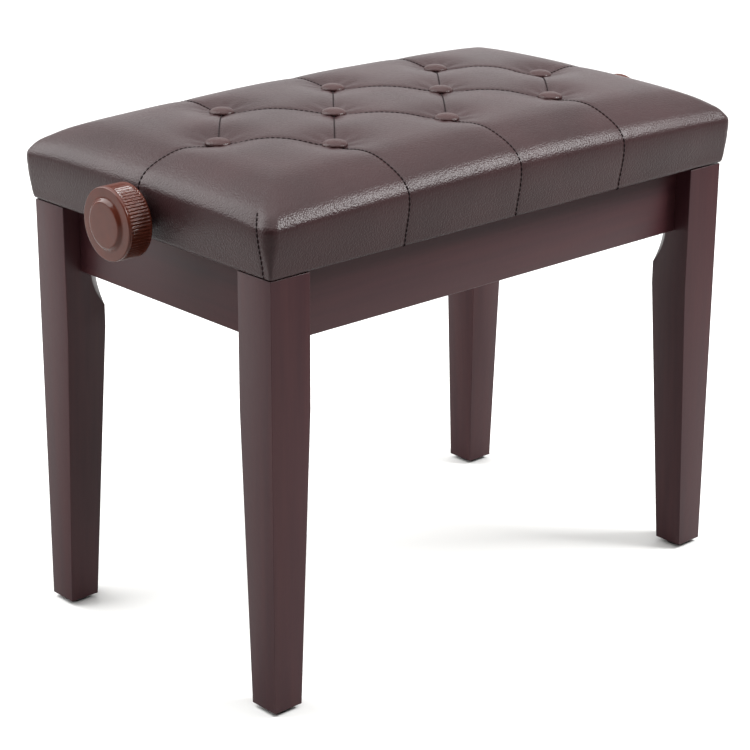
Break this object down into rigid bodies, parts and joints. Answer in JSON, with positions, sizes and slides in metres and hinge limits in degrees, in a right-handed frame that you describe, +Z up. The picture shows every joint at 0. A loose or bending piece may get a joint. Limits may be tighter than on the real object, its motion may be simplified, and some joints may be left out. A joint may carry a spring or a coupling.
{
  "type": "adjustable piano bench",
  "caption": "Height-adjustable piano bench: tufted padded seat on crossed steel arms raised by a screw with a ribbed knob at each end, over a tapered-leg wooden base.",
  "frame": {"origin": "on the floor, under the middle of the bench", "axes": "+X along the bench's length and the knobs' axis, +Y across its depth towards the back, +Z up"},
  "size_m": [0.6312, 0.332, 0.4611],
  "materials": {
    "lacquered_wood": "semi-gloss lacquer over dark mahogany stain",
    "plain_wood": "sawn and sanded, unfinished",
    "plywood": "sanded plywood, unfinished",
    "leather": "dark brown grained coated leather cloth",
    "foam": "open-cell foam",
    "black_steel": "black powder coat",
    "zinc_steel": "bright zinc plate",
    "knob_plastic": "moulded, glossy",
    "black_plastic": "moulded, matt"
  },
  "bodies": {
    "base": {"apron_back": "lacquered_wood", "apron_front": "lacquered_wood", "apron_left": "lacquered_wood", "apron_right": "lacquered_wood", "corner_block_back_left": "plain_wood", "corner_block_back_right": "plain_wood", "corner_block_front_left": "plain_wood", "corner_block_front_right": "plain_wood", "foot_glide_back_left": "black_plastic", "foot_glide_back_right": "black_plastic", "foot_glide_front_left": "black_plastic", "foot_glide_front_right": "black_plastic", "leg_back_left": "lacquered_wood", "leg_back_right": "lacquered_wood", "leg_bolt_back_left": "zinc_steel", "leg_bolt_back_right": "zinc_steel", "leg_bolt_front_left": "zinc_steel", "leg_bolt_front_right": "zinc_steel", "leg_front_left": "lacquered_wood", "leg_front_right": "lacquered_wood", "lower_pivot_rod": "zinc_steel", "lower_rail_back": "black_steel", "lower_rail_front": "black_steel"},
    "seat": {"bush_left": "black_plastic", "bush_right": "black_plastic", "button_back_1": "leather", "button_back_2": "leather", "button_back_3": "leather", "button_front_1": "leather", "button_front_2": "leather", "button_front_3": "leather", "button_middle_1": "leather", "button_middle_2": "leather", "button_middle_3": "leather", "button_middle_4": "leather", "foam_pad": "foam", "seat_board": "plywood", "seat_cushion": "leather", "seat_rail_back": "plain_wood", "seat_rail_front": "plain_wood", "seat_rail_left": "plain_wood", "seat_rail_right": "plain_wood", "side_cover_back": "leather", "side_cover_front": "leather", "side_cover_left": "leather", "side_cover_right": "leather", "upper_rail_back": "black_steel", "upper_rail_front": "black_steel"},
    "rising_arms": {"centre_pin_back": "zinc_steel", "centre_pin_front": "zinc_steel", "rising_arm_back": "black_steel", "rising_arm_front": "black_steel"},
    "falling_arms": {"falling_arm_back": "black_steel", "falling_arm_front": "black_steel", "sliding_rod": "zinc_steel"},
    "nut": {"nut_bar": "zinc_steel"},
    "screw": {"knob_left": "knob_plastic", "knob_right": "knob_plastic", "lead_screw": "zinc_steel"}
  },
  "joints": [
    {"name": "seat_lift", "type": "slide", "parent": "base", "child": "seat", "axis": [0, 0, 1], "range_m": [0, 0.09]},
    {"name": "rising_arm_swing", "type": "hinge", "parent": "base", "child": "rising_arms", "pos_m": [-0.215, 0, 0.348], "axis": [0, -1, 0], "range_deg": [0, 12.35]},
    {"name": "falling_arm_swing", "type": "hinge", "parent": "seat", "child": "falling_arms", "pos_m": [-0.215, 0, 0.4035], "axis": [0, 1, 0], "range_deg": [0, 12.35]},
    {"name": "nut_travel", "type": "slide", "parent": "seat", "child": "nut", "axis": [-1, 0, 0], "range_m": [0, 0.02175]},
    {"name": "knob_turn", "type": "hinge", "parent": "seat", "child": "screw", "pos_m": [0, 0, 0.4035], "axis": [1, 0, 0], "range_deg": [0, 2609.3]}
  ],
  "couplings": [
    {"joint": "rising_arm_swing", "follows": "seat_lift", "rad_per_m": 2.3938},
    {"joint": "falling_arm_swing", "follows": "seat_lift", "rad_per_m": 2.3938},
    {"joint": "nut_travel", "follows": "seat_lift", "ratio": 0.24151},
    {"joint": "knob_turn", "follows": "seat_lift", "rad_per_m": 505.82}
  ]
}
